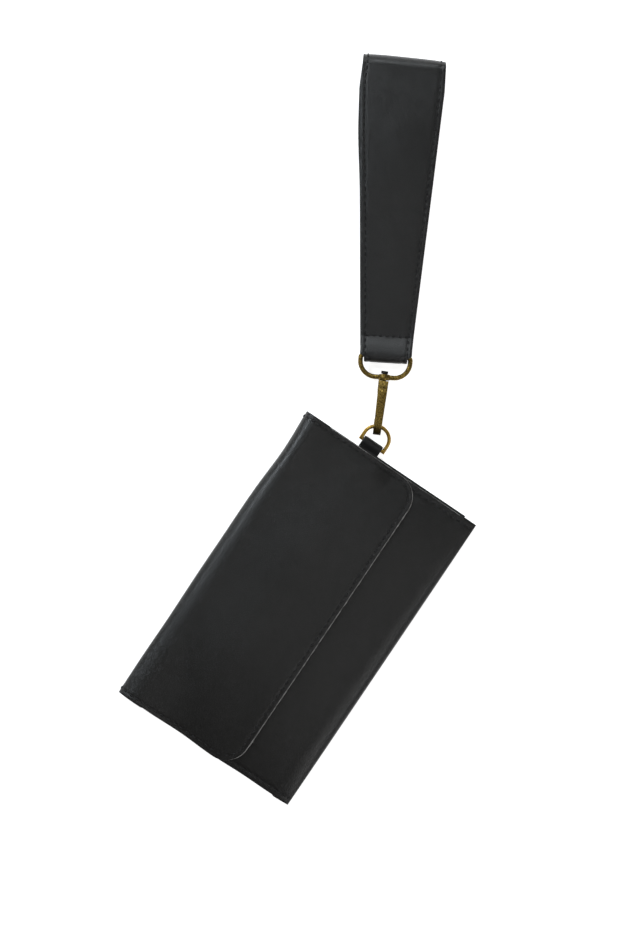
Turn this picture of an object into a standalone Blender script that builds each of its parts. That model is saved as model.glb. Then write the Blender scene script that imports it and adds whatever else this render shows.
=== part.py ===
"""Wristlet wallet: a flat leather pouch with a fold-over flap, a D-ring on a
tab, a brass swivel snap hook and a tapered leather wrist strap.

The wallet lies on its back. X runs along its length towards the D-ring side,
Y towards the top fold that carries the flap, Z up. The origin is the centre
of the pouch's back face. Every length is in metres.
"""
import math

import bmesh
import bpy
from mathutils import Matrix, Vector

# Driving dimensions
POUCH_LENGTH = 0.190        # along X
POUCH_HEIGHT = 0.115        # along Y, from bottom fold to top fold
LEATHER = 0.0011            # one ply of the body leather
GAP = 0.0003                # clearance kept between touching pieces
LINING = 0.0003
FLAP_LINING = 0.0008
FLAP_REST = 0.0005          # clearance between the front panel and the flap's lining
CARD_LEATHER = 0.0006
SLOT_LEATHER = 0.0005
SLOT_HALF = 0.076           # half length of the card slots
SLOT_UPPER_Y = 0.028        # top edges of the card slots
SLOT_LOWER_Y = 0.012
CARD_BASE = -0.0495         # bottom edge of the card pocket and its slots
SEAM_GAP = 0.0029           # inside height at the side seams
CROWN = 0.0069              # how much higher the inside is at the middle
TOP_RADIUS = 0.0055         # outside radius of the top fold
FLAP_LENGTH = 0.0785        # top fold to the flap's free edge
FLAP_CORNER = 0.014
TAB_Y = 0.0165              # centre of the D-ring tab
TAB_WIDTH = 0.0122
TAB_LEATHER = 0.0010
TAB_INSIDE = 0.0861         # where the tab's sewn-in ends stop
TAB_SLACK = 0.00035         # clearance round the D-ring's bar and over the back panel
RING_WIRE = 0.00105         # D-ring wire radius
RING_HALF = 0.00745         # D-ring centreline half width
RING_DEPTH = 0.01130        # D-ring bar to apex, centreline
RING_TILT = math.radians(12.0)
MAGNET_RADIUS = 0.007
MAGNET_THICK = 0.0008
MAGNET_Y = -0.008
HOOK_ANGLE = math.radians(26.5)
HOOK_RADIUS = 0.0061        # outside radius of the hook's bend
HOOK_BAR = 0.0024           # thickness of the hook's bar
HOOK_HALF_NOSE = 0.00215    # half width of the bar at the nose
HOOK_HALF_NECK = 0.0028     # half width of the bar at the neck
NECK_END = 0.0257           # end of the hook's neck, from the D-ring wire
BEND = 0.0012               # centre of the hook's bend, from the D-ring wire
NOSE = 0.0040               # end of the nose
PIN_S = 0.0213              # gate pin, along the hook
PIN_Z = -0.0044             # and below its axis
PIN_RADIUS = 0.0007
PIN_HOLE = 0.00085
PIN_HALF = 0.0026           # half of the pin's length
LUG_SLOT = 0.0017           # half width of the slot that the gate turns in
GATE_HALF = 0.0014          # half width of the gate
GATE_HEIGHT = 0.0021
SPRING_WIRE = 0.00014
SPRING_COIL = 0.0012
BOSS_START = 0.0260         # the eye's boss, along the hook
BOSS_END = 0.0294
BOSS_RADIUS = 0.00325
HOLE_RADIUS = 0.0016        # the hole in the neck and in the boss
POST_RADIUS = 0.0013
POST_START = 0.0245
POST_HEAD = 0.0297          # start of the post's head
POST_HEAD_RADIUS = 0.0020
POST_END = 0.0312
EYE_WIRE = 0.00135          # swivel eye wire radius
EYE_HALF = 0.0140           # swivel eye centreline half width
EYE_DEPTH = 0.0120          # swivel eye bar to bottom, centreline
EYE_BEND = 0.0088           # bend radius of the eye's round corners
EYE_CORNER = 0.0018         # bend radius beside its bar
EYE_SKEW = math.radians(3.0)
STRAP_ANGLE = math.radians(30.5)
STRAP_LEATHER = 0.0012
STRAP_LINING = 0.0009
STRAP_REACH = 0.16785       # eye bar to the far fold
STRAP_FAR_RADIUS = 0.0060
STRAP_PLY_GAP = 0.0002
STRAP_FOLD_HALF = 0.0122    # half widths: round the bar, beside it, and at the far fold
STRAP_NEAR_HALF = 0.0146
STRAP_FAR_HALF = 0.0238

BLACK = (0.022, 0.021, 0.021)
BRASS = (0.30, 0.22, 0.09)
BLACKENED = (0.05, 0.045, 0.04)
LINING_COLOUR = (0.03, 0.03, 0.032)
STEEL = (0.45, 0.45, 0.46)

# Sizes that follow from them
HALF_LENGTH = POUCH_LENGTH / 2
HALF_HEIGHT = POUCH_HEIGHT / 2
FOLD_Y = HALF_HEIGHT - TOP_RADIUS
FLAP_EDGE = HALF_HEIGHT - FLAP_LENGTH
BACK_EDGE = -0.0523         # where the back panel meets the bottom fold's lip
MOUTH_Y = 0.0450            # top edge of the front panel
RING_BAR = Vector((0.0998, TAB_Y, 0.0025))
TAB_RISE = 0.0019           # how far the tab lifts what lies on it
HINGE_OUT = 0.00389         # the fold's two bending lines, from FOLD_Y
HINGE_LOW = 0.00161


def smooth(start, end, value):
    """0 before start, 1 after end, with a soft step between."""
    t = min(max((value - start) / (end - start), 0.0), 1.0)
    return t * t * (3.0 - 2.0 * t)


def clear_scene():
    for obj in list(bpy.data.objects):
        bpy.data.objects.remove(obj, do_unlink=True)


def make_material(name, colour, roughness, metallic=0.0):
    material = bpy.data.materials.new(name)
    material.use_nodes = True
    shader = material.node_tree.nodes["Principled BSDF"]
    shader.inputs["Base Color"].default_value = (*colour, 1.0)
    shader.inputs["Roughness"].default_value = roughness
    shader.inputs["Metallic"].default_value = metallic
    return material


def make_empty(name, location, rotation=(0.0, 0.0, 0.0), parent=None):
    empty = bpy.data.objects.new(name, None)
    bpy.context.scene.collection.objects.link(empty)
    empty.location = location
    empty.rotation_euler = rotation
    empty.parent = parent
    return empty


def make_object(name, bm, colour, roughness, metallic=0.0, parent=None, shift=None):
    """Turn a bmesh into a named object with its own material."""
    if shift is not None:
        bmesh.ops.translate(bm, verts=bm.verts, vec=-Vector(shift))
    bmesh.ops.recalc_face_normals(bm, faces=bm.faces)
    mesh = bpy.data.meshes.new(name)
    bm.to_mesh(mesh)
    bm.free()
    obj = bpy.data.objects.new(name, mesh)
    bpy.context.scene.collection.objects.link(obj)
    obj.parent = parent
    mesh.materials.append(make_material(name, colour, roughness, metallic))
    return obj


def shell(outer, inner, ring=False):
    """Closed sheet between two equal grids of points; ring joins last row to first."""
    bm = bmesh.new()
    rows = len(outer)
    columns = len(outer[0])
    top = [[bm.verts.new(p) for p in row] for row in outer]
    under = [[bm.verts.new(p) for p in row] for row in inner]
    spans = rows if ring else rows - 1
    for i in range(spans):
        k = (i + 1) % rows
        for j in range(columns - 1):
            bm.faces.new((top[i][j], top[k][j], top[k][j + 1], top[i][j + 1]))
            bm.faces.new((under[i][j], under[i][j + 1], under[k][j + 1], under[k][j]))
        for j in (0, columns - 1):
            bm.faces.new((top[i][j], top[k][j], under[k][j], under[i][j]))
    if not ring:
        for i in (0, rows - 1):
            for j in range(columns - 1):
                bm.faces.new((top[i][j], top[i][j + 1], under[i][j + 1], under[i][j]))
    return bm


def prism(outline, low, high, place):
    """Extrude a flat outline of (a, b) points; place turns (a, b, c) into a point."""
    bm = bmesh.new()
    bottom = [bm.verts.new(place(a, b, low)) for a, b in outline]
    top = [bm.verts.new(place(a, b, high)) for a, b in outline]
    bm.faces.new(bottom)
    bm.faces.new(top)
    for i in range(len(outline)):
        k = (i + 1) % len(outline)
        bm.faces.new((bottom[i], bottom[k], top[k], top[i]))
    return bm


def arc(centre_a, centre_b, radius, start, end, steps):
    """Points (a, b) on an arc, angles in degrees."""
    points = []
    for i in range(steps + 1):
        angle = math.radians(start + (end - start) * i / steps)
        points.append((centre_a + radius * math.cos(angle), centre_b + radius * math.sin(angle)))
    return points


def tube(path, radius, sides, closed, side_axis):
    """Round wire along a path that lies square to side_axis, or coils along it."""
    bm = bmesh.new()
    rings = []
    count = len(path)
    for i, point in enumerate(path):
        before = path[i - 1] if closed or i else path[0]
        after = path[(i + 1) % count] if closed or i < count - 1 else path[-1]
        tangent = (after - before).normalized()
        across = side_axis.cross(tangent).normalized()
        other = tangent.cross(across)
        ring = []
        for k in range(sides):
            angle = 2 * math.pi * k / sides
            ring.append(bm.verts.new(point + radius * (math.cos(angle) * across + math.sin(angle) * other)))
        rings.append(ring)
    for i in range(count if closed else count - 1):
        j = (i + 1) % count
        for k in range(sides):
            m = (k + 1) % sides
            bm.faces.new((rings[i][k], rings[i][m], rings[j][m], rings[j][k]))
    if not closed:
        bm.faces.new(rings[0])
        bm.faces.new(rings[-1])
    return bm


def rod(start, end, radius, sides=20):
    """Cylinder from start to end."""
    start = Vector(start)
    end = Vector(end)
    axis = end - start
    bm = bmesh.new()
    turn = axis.to_track_quat("Z", "Y").to_matrix().to_4x4()
    place = Matrix.Translation((start + end) / 2) @ turn
    bmesh.ops.create_cone(bm, cap_ends=True, segments=sides, radius1=radius, radius2=radius,
                          depth=axis.length, matrix=place)
    return bm


def box(low, high):
    """Axis-aligned block between two corners."""
    bm = bmesh.new()
    bmesh.ops.create_cube(bm, size=1.0)
    size = Vector(high) - Vector(low)
    for v in bm.verts:
        v.co = Vector(low) + Vector((size[i] * (v.co[i] + 0.5) for i in range(3)))
    return bm


def combine(target, name, bm, operation):
    """Boolean with a hidden helper that shares the target's parent."""
    helper = make_object(name, bm, (0.5, 0.5, 0.5), 0.5, parent=target.parent)
    helper.hide_render = True
    helper.display_type = "WIRE"
    modifier = target.modifiers.new(name, "BOOLEAN")
    modifier.operation = operation
    modifier.object = helper
    return helper


# Heights of the pouch's layers
def tab_lift(x, y):
    """Extra height over the sewn-in end of the D-ring tab."""
    along = smooth(0.077, 0.0855, x)
    across = 1.0 - smooth(0.0085, 0.020, abs(y - TAB_Y))
    return TAB_RISE * along * across


def crown_at(x):
    return 1.0 - (abs(x) / HALF_LENGTH) ** 4


def front_inside(x, y):
    """Height of the front panel's inner face."""
    fullness = 0.65 + 0.35 * smooth(-0.053, -0.015, y) - 0.34 * smooth(0.008, 0.048, y)
    crown = crown_at(x)
    return SEAM_GAP + CROWN * crown * fullness + tab_lift(x, y) * (1.0 - crown)


def flap_inside(x, y):
    """Height of the flap leather's inner face: on the front, then up to the fold."""
    resting = front_inside(x, y) + LEATHER + FLAP_REST + FLAP_LINING + GAP
    fold = 2 * TOP_RADIUS - LEATHER
    share = smooth(0.010, FOLD_Y, y)
    return max(resting, resting * (1.0 - share) + fold * share)


def steps_between(low, high, count):
    return [low + (high - low) * i / count for i in range(count + 1)]


def crowned_columns(half):
    """Places across the wallet's length, closer together towards the side seams."""
    return [half * math.sin(math.pi * i / 18) for i in range(-9, 10)]


def flat_layer(name, x_range, y_range, height, thickness, colour, rough, columns=12, rows=6):
    """A sheet over an X and Y range, its lower face at height(x, y)."""
    xs = steps_between(*x_range, columns)
    ys = steps_between(*y_range, rows)
    under = [[Vector((x, y, height(x, y))) for x in xs] for y in ys]
    top = [[p + Vector((0, 0, thickness)) for p in row] for row in under]
    return make_object(name, shell(top, under), colour, rough)


def yz(y, z, x):
    return Vector((x, y, z))


def make_back_panel():
    """Back of the body leather, ending in the start of the top fold."""
    outer = [(BACK_EDGE, 0.0)] + arc(FOLD_Y, TOP_RADIUS, TOP_RADIUS, -90, -48, 3)
    inner = arc(FOLD_Y, TOP_RADIUS, TOP_RADIUS - LEATHER, -48, -90, 3) + [(BACK_EDGE, LEATHER)]
    bm = prism(outer + inner, -HALF_LENGTH, HALF_LENGTH, yz)
    make_object("back_panel", bm, BLACK, 0.5)


def make_front_panel():
    """Front of the body leather with the bottom fold, crowned over the pocket."""
    outer = []
    inner = []
    xs = crowned_columns(HALF_LENGTH)
    fold_rows = 7
    front_rows = [-0.050, -0.042, -0.034, -0.025, -0.015, -0.004, 0.008, 0.0165, 0.025, 0.035, MOUTH_Y]
    columns = []
    for x in xs:
        radius = (front_inside(x, -HALF_HEIGHT) + LEATHER) / 2
        centre = -HALF_HEIGHT + radius
        out = [(BACK_EDGE - GAP, 0.0)]
        inn = [(BACK_EDGE - GAP, LEATHER)]
        out += arc(centre, radius, radius, 270, 90, fold_rows)
        inn += arc(centre, radius, radius - LEATHER, 270, 90, fold_rows)
        for y in front_rows:
            height = front_inside(x, y)
            out.append((y, height + LEATHER))
            inn.append((y, height))
        columns.append((x, out, inn))
    for i in range(len(columns[0][1])):
        outer.append([Vector((x, out[i][0], out[i][1])) for x, out, inn in columns])
        inner.append([Vector((x, inn[i][0], inn[i][1])) for x, out, inn in columns])
    make_object("front_panel", shell(outer, inner), BLACK, 0.5)


def make_pocket_layers():
    """Linings and the card pocket caught in the side seams."""
    flat_layer("back_lining", (-0.092, 0.084), (-0.048, 0.050), lambda x, y: LEATHER + GAP,
               LINING, LINING_COLOUR, 0.85, columns=1, rows=1)

    def card_height(x, y):
        return LEATHER + LINING + 2 * GAP + tab_lift(x, y)

    flat_layer("card_panel", (-0.094, 0.0958), (CARD_BASE, 0.044), card_height,
               CARD_LEATHER, BLACK, 0.6, columns=30, rows=22)
    upper = LEATHER + LINING + 3 * GAP + CARD_LEATHER
    lower = upper + SLOT_LEATHER + GAP
    slots = (-SLOT_HALF, SLOT_HALF)
    flat_layer("card_slot_upper", slots, (CARD_BASE, SLOT_UPPER_Y), lambda x, y: upper,
               SLOT_LEATHER, BLACK, 0.6, columns=1, rows=1)
    flat_layer("card_slot_lower", slots, (CARD_BASE, SLOT_LOWER_Y), lambda x, y: lower,
               SLOT_LEATHER, BLACK, 0.6, columns=1, rows=1)
    lining = flat_layer("front_lining", (-0.088, 0.088), (-0.047, 0.043),
                        lambda x, y: front_inside(x, y) - GAP - LINING,
                        LINING, LINING_COLOUR, 0.85, columns=16, rows=10)
    combine(lining, "front_lining_cut", rod((0, MAGNET_Y, 0.007), (0, MAGNET_Y, 0.0105),
                                            MAGNET_RADIUS + GAP), "DIFFERENCE")


def make_tab():
    """Leather loop round the D-ring's bar, its two ends caught in the seam."""
    bend = RING_BAR.z
    half = TAB_LEATHER / 2
    radius = RING_WIRE + TAB_SLACK + half
    low_seam = LEATHER + TAB_SLACK + half
    high_seam = low_seam + TAB_LEATHER + 0.0001
    slope = steps_between(HALF_LENGTH + GAP, RING_BAR.x, 5)[:-1]
    centre = [(TAB_INSIDE, low_seam)]
    for x in slope:
        share = smooth(slope[0], RING_BAR.x, x)
        centre.append((x, low_seam + (bend - radius - low_seam) * share))
    centre += arc(RING_BAR.x, bend, radius, -90, 90, 10)
    for x in reversed(slope):
        share = smooth(slope[0], RING_BAR.x, x)
        centre.append((x, high_seam + (bend + radius - high_seam) * share))
    centre.append((TAB_INSIDE, high_seam))
    outer = []
    inner = []
    for i, (a, b) in enumerate(centre):
        before = centre[max(i - 1, 0)]
        after = centre[min(i + 1, len(centre) - 1)]
        run = Vector((after[0] - before[0], after[1] - before[1])).normalized()
        outer.append((a + run.y * half, b - run.x * half))
        inner.append((a - run.y * half, b + run.x * half))
    low = TAB_Y - TAB_WIDTH / 2
    bm = prism(outer + inner[::-1], low, low + TAB_WIDTH, lambda a, b, c: Vector((a, c, b)))
    make_object("tab_strip", bm, BLACK, 0.55)


def make_magnets(flap_hinge):
    """Two thin disc magnets that hold the flap shut, each under its own leather."""
    front_top = front_inside(0.0, MAGNET_Y) - GAP
    bm = rod((0, MAGNET_Y, front_top - MAGNET_THICK), (0, MAGNET_Y, front_top), MAGNET_RADIUS)
    make_object("front_magnet", bm, STEEL, 0.35, 1.0)
    flap_top = flap_inside(0.0, MAGNET_Y) - GAP
    bm = rod((0, MAGNET_Y, flap_top - MAGNET_THICK), (0, MAGNET_Y, flap_top), MAGNET_RADIUS)
    make_object("flap_magnet", bm, STEEL, 0.35, 1.0, flap_hinge, flap_hinge.location)


def make_top_fold(hinge):
    """Middle of the top fold: the strip that bends when the flap opens."""
    outer = arc(FOLD_Y, TOP_RADIUS, TOP_RADIUS, -42, 42, 8)
    inner = arc(FOLD_Y, TOP_RADIUS, TOP_RADIUS - LEATHER, 42, -42, 8)
    bm = prism(outer + inner, -HALF_LENGTH, HALF_LENGTH, yz)
    make_object("top_fold", bm, BLACK, 0.5, parent=hinge, shift=hinge.location)


def flap_rows(edge_inset):
    """(y, half width) down the flap, round its free corners."""
    rows = [(y, HALF_LENGTH - edge_inset) for y in (0.047, 0.041, 0.034, 0.0265, 0.0165, 0.008, 0.0)]
    start = FLAP_EDGE + FLAP_CORNER
    for i in range(7):
        angle = math.radians(15.0 * i)
        radius = FLAP_CORNER - edge_inset
        y = start - radius * math.sin(angle)
        rows.append((y, HALF_LENGTH - FLAP_CORNER + radius * math.cos(angle)))
    return rows


def make_flap(hinge):
    """Flap leather and its lining."""
    columns = crowned_columns(1.0)
    outer = []
    inner = []
    for out, inn in zip(arc(FOLD_Y, TOP_RADIUS, TOP_RADIUS, 48, 90, 3),
                        arc(FOLD_Y, TOP_RADIUS, TOP_RADIUS - LEATHER, 48, 90, 3)):
        outer.append([Vector((c * HALF_LENGTH, *out)) for c in columns])
        inner.append([Vector((c * HALF_LENGTH, *inn)) for c in columns])
    for y, half in flap_rows(0.0):
        inner.append([Vector((c * half, y, flap_inside(c * half, y))) for c in columns])
        outer.append([p + Vector((0, 0, LEATHER)) for p in inner[-1]])
    make_object("flap_outer", shell(outer, inner), BLACK, 0.5, parent=hinge, shift=hinge.location)
    top = []
    for y, half in flap_rows(0.001):
        top.append([Vector((c * half, y, flap_inside(c * half, y) - GAP)) for c in columns])
    under = [[p - Vector((0, 0, FLAP_LINING)) for p in row] for row in top]
    lining = make_object("flap_lining", shell(top, under), LINING_COLOUR, 0.8,
                         parent=hinge, shift=hinge.location)
    low = Vector((0, MAGNET_Y, 0.0095)) - hinge.location
    high = Vector((0, MAGNET_Y, 0.0140)) - hinge.location
    combine(lining, "flap_lining_cut", rod(low, high, MAGNET_RADIUS + GAP), "DIFFERENCE")


def make_d_ring(hinge):
    """Round-wire D-ring, its flat bar inside the tab."""
    straight = RING_DEPTH - RING_HALF
    path = [(0.0, -RING_HALF), (straight / 2, -RING_HALF)]
    path += arc(straight, 0.0, RING_HALF, -90, 90, 22)
    path += [(straight / 2, RING_HALF), (0.0, RING_HALF), (0.0, 0.0)]
    points = [Vector((a, b, 0.0)) for a, b in path]
    make_object("d_ring", tube(points, RING_WIRE, 10, True, Vector((0, 0, 1))), BRASS, 0.3, 1.0, hinge)


def hook_half(s):
    """Half width of the hook's bar at a distance s from the D-ring wire."""
    share = min(max(s / NECK_END, 0.0), 1.0)
    return HOOK_HALF_NOSE + (HOOK_HALF_NECK - HOOK_HALF_NOSE) * share


def make_hook(hinge, drop):
    """Cast hook body, seen edge-on from above, with a forked lug for the gate."""
    inside = HOOK_RADIUS - HOOK_BAR
    outline = [(NECK_END, 0.0026), (0.0236, 0.0029), (0.0224, 0.0038), (0.0207, 0.0054)]
    outline += [(0.0188, HOOK_RADIUS)]
    outline += arc(BEND, 0.0, HOOK_RADIUS, 90, 270, 14)
    outline += [(NOSE, -HOOK_RADIUS), (NOSE, -inside)]
    outline += arc(BEND, 0.0, inside, 270, 90, 12)
    outline += [(0.0172, inside), (0.0184, 0.0031), (0.0189, 0.0020), (0.0189, -0.0054)]
    outline += [(0.0197, -HOOK_RADIUS), (0.0228, -HOOK_RADIUS), (0.0242, -0.0048), (NECK_END, -0.0026)]
    bm = bmesh.new()
    sides = []
    for sign in (-1.0, 1.0):
        sides.append([bm.verts.new((s, sign * hook_half(s), z + drop)) for s, z in outline])
        bm.faces.new(sides[-1])
    for i in range(len(outline)):
        k = (i + 1) % len(outline)
        bm.faces.new((sides[0][i], sides[0][k], sides[1][k], sides[1][i]))
    hook = make_object("hook_body", bm, BRASS, 0.45, 1.0, hinge)
    slot = box((0.0165, -LUG_SLOT, -0.0070 + drop), (0.0236, LUG_SLOT, -0.0025 + drop))
    combine(hook, "hook_slot_cut", slot, "DIFFERENCE")
    pin = rod((PIN_S, -0.004, PIN_Z + drop), (PIN_S, 0.004, PIN_Z + drop), PIN_HOLE)
    combine(hook, "hook_pin_cut", pin, "DIFFERENCE")
    neck = rod((0.0242, 0.0, drop), (0.0270, 0.0, drop), HOLE_RADIUS)
    combine(hook, "hook_neck_cut", neck, "DIFFERENCE")
    bm = rod((PIN_S, -PIN_HALF, PIN_Z + drop), (PIN_S, PIN_HALF, PIN_Z + drop), PIN_RADIUS)
    make_object("gate_pin", bm, BRASS, 0.4, 1.0, hinge)


def make_swivel_post(hinge, drop):
    """Rivet that joins the hook to the eye, with its head inside the eye."""
    bm = rod((POST_START, 0.0, drop), (POST_HEAD + 0.0005, 0.0, drop), POST_RADIUS)
    post = make_object("swivel_post", bm, BLACKENED, 0.45, 1.0, hinge)
    head = rod((POST_HEAD, 0.0, drop), (POST_END, 0.0, drop), POST_HEAD_RADIUS)
    combine(post, "swivel_head", head, "UNION")


def make_gate(hinge):
    """Sprung gate, its origin on the pin."""
    reach = PIN_S - NOSE - GAP
    low = -HOOK_RADIUS + 0.0001 - PIN_Z
    high = low + GATE_HEIGHT
    outline = [(-reach, low), (-reach, high), (-0.0012, high + 0.0004)]
    outline += arc(0.0, 0.0, 0.0016, 120, -90, 12)
    outline += [(-0.0012, low)]
    bm = prism(outline, -GATE_HALF, GATE_HALF, lambda a, b, c: Vector((a, c, b)))
    gate = make_object("gate", bm, BRASS, 0.45, 1.0, hinge)
    combine(gate, "gate_pin_cut", rod((0, -0.003, 0), (0, 0.003, 0), PIN_HOLE), "DIFFERENCE")
    combine(gate, "gate_spring_cut", box((-0.0020, 0.0002, -0.003), (0.003, 0.003, 0.003)), "DIFFERENCE")


def make_gate_spring(hinge, drop):
    """Small coil round the gate pin."""
    turns = 2.0
    steps = 32
    points = []
    for i in range(steps + 1):
        angle = 2 * math.pi * turns * i / steps
        along = 0.0006 + 0.00068 * i / steps
        points.append(Vector((PIN_S + SPRING_COIL * math.cos(angle), along,
                              PIN_Z + drop + SPRING_COIL * math.sin(angle))))
    coil = tube(points, SPRING_WIRE, 6, False, Vector((0, 1, 0)))
    make_object("gate_spring", coil, STEEL, 0.3, 1.0, hinge)


def make_swivel_eye(pivot):
    """D-shaped wire eye with a bored boss, its origin at the middle of the boss."""
    corner = EYE_CORNER
    bend = EYE_BEND
    path = [(EYE_DEPTH, -0.006), (EYE_DEPTH, 0.006)]
    path += arc(EYE_DEPTH - corner, EYE_HALF - corner, corner, 0, 90, 5)
    path += arc(bend, EYE_HALF - bend, bend, 90, 180, 10)
    path += [(0.0, 0.0)]
    path += arc(bend, -EYE_HALF + bend, bend, 180, 270, 10)
    path += arc(EYE_DEPTH - corner, -EYE_HALF + corner, corner, 270, 360, 5)
    points = [Vector((a, b, 0.0)) for a, b in path]
    wire = tube(points, EYE_WIRE, 10, True, Vector((0, 0, 1)))
    eye = make_object("swivel_eye", wire, BRASS, 0.4, 1.0, pivot)
    half = (BOSS_END - BOSS_START) / 2
    combine(eye, "eye_boss", rod((-half, 0, 0), (half, 0, 0), BOSS_RADIUS, 24), "UNION")
    combine(eye, "eye_hole_cut", rod((-0.004, 0, 0), (0.004, 0, 0), HOLE_RADIUS), "DIFFERENCE")


def strap_half(s):
    """Half width of the strap at a distance s from the eye's bar."""
    if s < 0.0055:
        return STRAP_FOLD_HALF + (STRAP_NEAR_HALF - STRAP_FOLD_HALF) * smooth(0.0005, 0.0055, s)
    share = min((s - 0.004) / 0.146, 1.0)
    return STRAP_NEAR_HALF + (STRAP_FAR_HALF - STRAP_NEAR_HALF) * share


def curve_through(knots, x):
    """Smooth height through (x, height) knots, level at both ends."""
    slopes = [0.0]
    for (x0, h0), (x2, h2) in zip(knots, knots[2:]):
        slopes.append((h2 - h0) / (x2 - x0))
    slopes.append(0.0)
    for i in range(len(knots) - 1):
        x0, h0 = knots[i]
        x1, h1 = knots[i + 1]
        if x <= x1:
            break
    t = (x - x0) / (x1 - x0)
    span = x1 - x0
    return ((2 * t ** 3 - 3 * t ** 2 + 1) * h0 + (t ** 3 - 2 * t ** 2 + t) * span * slopes[i]
            + (-2 * t ** 3 + 3 * t ** 2) * h1 + (t ** 3 - t ** 2) * span * slopes[i + 1])


def strap_profile(bar_height, wrap):
    """Outer face of the strap's loop, seen from its side, as (s, height) points."""
    far = STRAP_REACH - STRAP_FAR_RADIUS
    top_far = 2 * STRAP_FAR_RADIUS
    top = [(0.0, bar_height + wrap), (0.005, 0.0089), (0.0109, 0.0069), (0.018, 0.00675), (0.028, 0.0074),
           (0.045, 0.0088), (0.070, 0.0109), (0.095, 0.0124), (0.120, 0.0130), (0.145, 0.0127),
           (far, top_far)]
    low = [(0.0, bar_height - wrap), (0.0109, 0.0020), (0.020, 0.00145), (0.032, 0.0006), (0.048, 0.0),
           (far, 0.0)]
    points = arc(0.0, bar_height, wrap, 90, 270, 12)
    for s in (0.003, 0.007, 0.0109, 0.015, 0.020, 0.026, 0.032, 0.040, 0.048, 0.070, 0.095, 0.120, 0.145):
        points.append((s, curve_through(low, s)))
    points += arc(far, STRAP_FAR_RADIUS, STRAP_FAR_RADIUS, -90, 90, 12)
    for s in (0.154, 0.145, 0.132, 0.120, 0.107, 0.095, 0.082, 0.070, 0.057, 0.045, 0.036, 0.028, 0.022,
              0.018, 0.014, 0.0109, 0.008, 0.005, 0.0025):
        points.append((s, curve_through(top, s)))
    return points


def inset(points, distance):
    """Move a closed outline inwards along its normals."""
    moved = []
    count = len(points)
    for i in range(count):
        before = points[i - 1]
        after = points[(i + 1) % count]
        run = Vector((after[0] - before[0], after[1] - before[1])).normalized()
        moved.append((points[i][0] - run.y * distance, points[i][1] + run.x * distance))
    return moved


def strap_ply(name, profile, depth, thickness, bar_height, hinge, colour, rough):
    """One ply of the strap's loop, between two depths under its outer face."""
    outside = inset(profile, depth)
    inside = inset(profile, depth + thickness)
    widths = [strap_half(s) for s, height in profile]
    outer = []
    inner = []
    for (s, height), half in zip(outside, widths):
        outer.append([Vector((s, -half, height - bar_height)), Vector((s, half, height - bar_height))])
    for (s, height), half in zip(inside, widths):
        inner.append([Vector((s, -half, height - bar_height)), Vector((s, half, height - bar_height))])
    make_object(name, shell(outer, inner, ring=True), colour, rough, parent=hinge)


def make_strap(hinge):
    """Tapered wrist strap: a loop of two plies that wraps the eye's bar."""
    bar_height = HOOK_RADIUS
    wrap = EYE_WIRE + GAP + STRAP_LINING + STRAP_PLY_GAP + STRAP_LEATHER
    profile = strap_profile(bar_height, wrap)
    strap_ply("strap_outer", profile, 0.0, STRAP_LEATHER, bar_height, hinge, BLACK, 0.45)
    strap_ply("strap_lining", profile, STRAP_LEATHER + STRAP_PLY_GAP, STRAP_LINING, bar_height, hinge,
              LINING_COLOUR, 0.7)


def main():
    clear_scene()
    make_back_panel()
    make_front_panel()
    make_pocket_layers()
    make_tab()

    low_hinge = make_empty("fold_hinge_low", (0.0, FOLD_Y + HINGE_OUT, HINGE_LOW))
    high_hinge = make_empty("fold_hinge_high", (0.0, FOLD_Y + HINGE_OUT, 2 * TOP_RADIUS - HINGE_LOW))
    make_top_fold(low_hinge)
    make_flap(high_hinge)
    make_magnets(high_hinge)

    ring_hinge = make_empty("d_ring_hinge", RING_BAR, (0.0, -RING_TILT, 0.0))
    make_d_ring(ring_hinge)

    reach = RING_DEPTH - RING_HALF + RING_HALF * math.cos(HOOK_ANGLE)
    wire = RING_BAR + Vector((reach * math.cos(RING_TILT), RING_HALF * math.sin(HOOK_ANGLE),
                              reach * math.sin(RING_TILT)))
    drop = HOOK_RADIUS - wire.z
    hook_hinge = make_empty("hook_hinge", wire, (0.0, 0.0, HOOK_ANGLE))
    make_hook(hook_hinge, drop)
    make_swivel_post(hook_hinge, drop)
    make_gate_spring(hook_hinge, drop)
    gate_hinge = make_empty("gate_hinge", (PIN_S, 0.0, PIN_Z + drop), parent=hook_hinge)
    make_gate(gate_hinge)

    boss_middle = (BOSS_START + BOSS_END) / 2
    swivel = make_empty("swivel_pivot", (boss_middle, 0.0, drop), (0.0, 0.0, EYE_SKEW), hook_hinge)
    make_swivel_eye(swivel)

    turn = STRAP_ANGLE - HOOK_ANGLE - EYE_SKEW
    strap_hinge = make_empty("strap_hinge", (EYE_DEPTH, 0.0, 0.0), (0.0, 0.0, turn), swivel)
    make_strap(strap_hinge)


main()
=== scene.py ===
import math

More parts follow.
